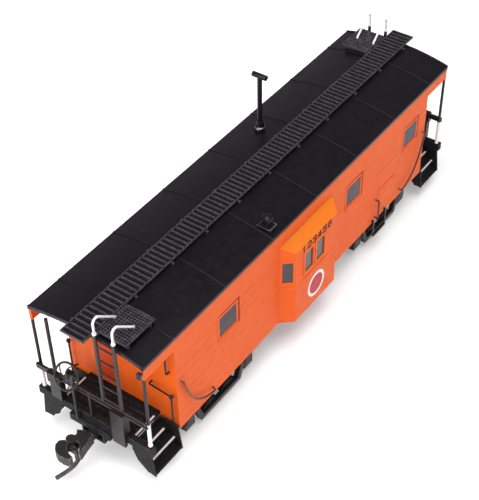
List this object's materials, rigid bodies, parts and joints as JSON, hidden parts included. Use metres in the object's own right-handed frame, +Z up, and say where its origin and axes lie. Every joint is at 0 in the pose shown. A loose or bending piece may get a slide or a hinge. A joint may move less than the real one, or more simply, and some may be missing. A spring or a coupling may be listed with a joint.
{
  "type": "model caboose",
  "caption": "HO scale bay-window caboose with end platforms, steps, ladders, roofwalk, smoke jack, swivelling two-axle trucks and knuckle couplers.",
  "frame": {"origin": "under the middle of the car, level with the bottom of the wheel flanges", "axes": "+X along the car towards end B, +Y across the car, +Z up"},
  "size_m": [0.1726, 0.0424, 0.0648],
  "materials": {
    "body": "satin, moulded in orange",
    "bay": "satin, moulded in orange",
    "door": "satin, red orange",
    "glazing": "clear, dark inside",
    "roof": "satin black",
    "roofwalk": "satin black",
    "white_wire": "white paint",
    "body_wire": "dark red brown paint",
    "black_wire": "black paint",
    "black_moulding": "matt black",
    "steel": "plain",
    "spring": "phosphor bronze strip",
    "coupler_metal": "chemically blackened",
    "truck": "matt black",
    "wheel": "blackened, bare treads"
  },
  "bodies": {
    "car": {"body_shell": "body", "bay_window_left": "bay", "bay_window_right": "bay", "end_door_a": "door", "end_door_b": "door", "end_door_glazing": "glazing", "side_glazing_left": "glazing", "side_glazing_right": "glazing", "bay_glazing_left": "glazing", "bay_glazing_right": "glazing", "roof": "roof", "running_board": "roofwalk", "running_board_straps": "roofwalk", "lateral_board_a": "roofwalk", "lateral_board_b": "roofwalk", "smoke_jack": "roof", "roof_vent": "roof", "roof_grabs_a": "white_wire", "roof_grabs_b": "white_wire", "ladder_a": "black_wire", "ladder_b": "black_wire", "corner_posts": "black_wire", "marker_lamps": "black_wire", "end_railing_a": "black_wire", "end_railing_b": "black_wire", "brake_stand_a": "black_wire", "brake_stand_b": "black_wire", "brake_wheel_a": "black_wire", "brake_wheel_b": "black_wire", "platform_a": "black_moulding", "platform_b": "black_moulding", "steps_a_left": "black_moulding", "steps_a_right": "black_moulding", "steps_b_left": "black_moulding", "steps_b_right": "black_moulding", "side_grab_irons": "body_wire", "end_handrails": "black_wire", "stirrup_steps": "black_wire", "underframe": "black_moulding", "weight": "steel", "air_reservoir": "black_moulding", "brake_cylinder": "black_moulding", "control_valve": "black_moulding", "coupler_boxes": "black_moulding", "coupler_box_lids": "black_moulding", "coupler_screws": "steel", "centring_springs": "spring", "truck_screws": "steel"},
    "truck_a": {"truck_frame_a": "truck", "truck_springs_a": "truck"},
    "coupler_a": {"coupler_a": "coupler_metal"},
    "knuckle_a": {"knuckle_a": "coupler_metal"},
    "truck_b": {"truck_frame_b": "truck", "truck_springs_b": "truck"},
    "coupler_b": {"coupler_b": "coupler_metal"},
    "knuckle_b": {"knuckle_b": "coupler_metal"},
    "wheelset_a_outer": {"wheelset_a_outer": "wheel"},
    "wheelset_a_inner": {"wheelset_a_inner": "wheel"},
    "wheelset_b_inner": {"wheelset_b_inner": "wheel"},
    "wheelset_b_outer": {"wheelset_b_outer": "wheel"}
  },
  "joints": [
    {"name": "truck_a_swivel", "type": "hinge", "parent": "car", "child": "truck_a", "pos_m": [-0.0415, 0, 0.0093], "axis": [0, 0, 1], "range_deg": [-8, 8]},
    {"name": "wheelset_a_outer_spin", "type": "hinge", "parent": "truck_a", "child": "wheelset_a_outer", "pos_m": [-0.0545, 0, 0.0055], "axis": [0, 1, 0], "continuous": true},
    {"name": "wheelset_a_inner_spin", "type": "hinge", "parent": "truck_a", "child": "wheelset_a_inner", "pos_m": [-0.0285, 0, 0.0055], "axis": [0, 1, 0], "continuous": true},
    {"name": "coupler_a_swing", "type": "hinge", "parent": "car", "child": "coupler_a", "pos_m": [-0.0674, 0, 0.0106], "axis": [0, 0, 1], "range_deg": [-10, 10], "stiffness_Nm_per_rad": 0.0005},
    {"name": "knuckle_a_open", "type": "hinge", "parent": "coupler_a", "child": "knuckle_a", "pos_m": [-0.0796, 0.0026, 0.0106], "axis": [0, 0, -1], "range_deg": [0, 25], "stiffness_Nm_per_rad": 0.0001},
    {"name": "truck_b_swivel", "type": "hinge", "parent": "car", "child": "truck_b", "pos_m": [0.0415, 0, 0.0093], "axis": [0, 0, 1], "range_deg": [-8, 8]},
    {"name": "wheelset_b_outer_spin", "type": "hinge", "parent": "truck_b", "child": "wheelset_b_outer", "pos_m": [0.0545, 0, 0.0055], "axis": [0, 1, 0], "continuous": true},
    {"name": "wheelset_b_inner_spin", "type": "hinge", "parent": "truck_b", "child": "wheelset_b_inner", "pos_m": [0.0285, 0, 0.0055], "axis": [0, 1, 0], "continuous": true},
    {"name": "coupler_b_swing", "type": "hinge", "parent": "car", "child": "coupler_b", "pos_m": [0.0674, 0, 0.0106], "axis": [0, 0, 1], "range_deg": [-10, 10], "stiffness_Nm_per_rad": 0.0005},
    {"name": "knuckle_b_open", "type": "hinge", "parent": "coupler_b", "child": "knuckle_b", "pos_m": [0.0796, -0.0026, 0.0106], "axis": [0, 0, -1], "range_deg": [0, 25], "stiffness_Nm_per_rad": 0.0001}
  ]
}
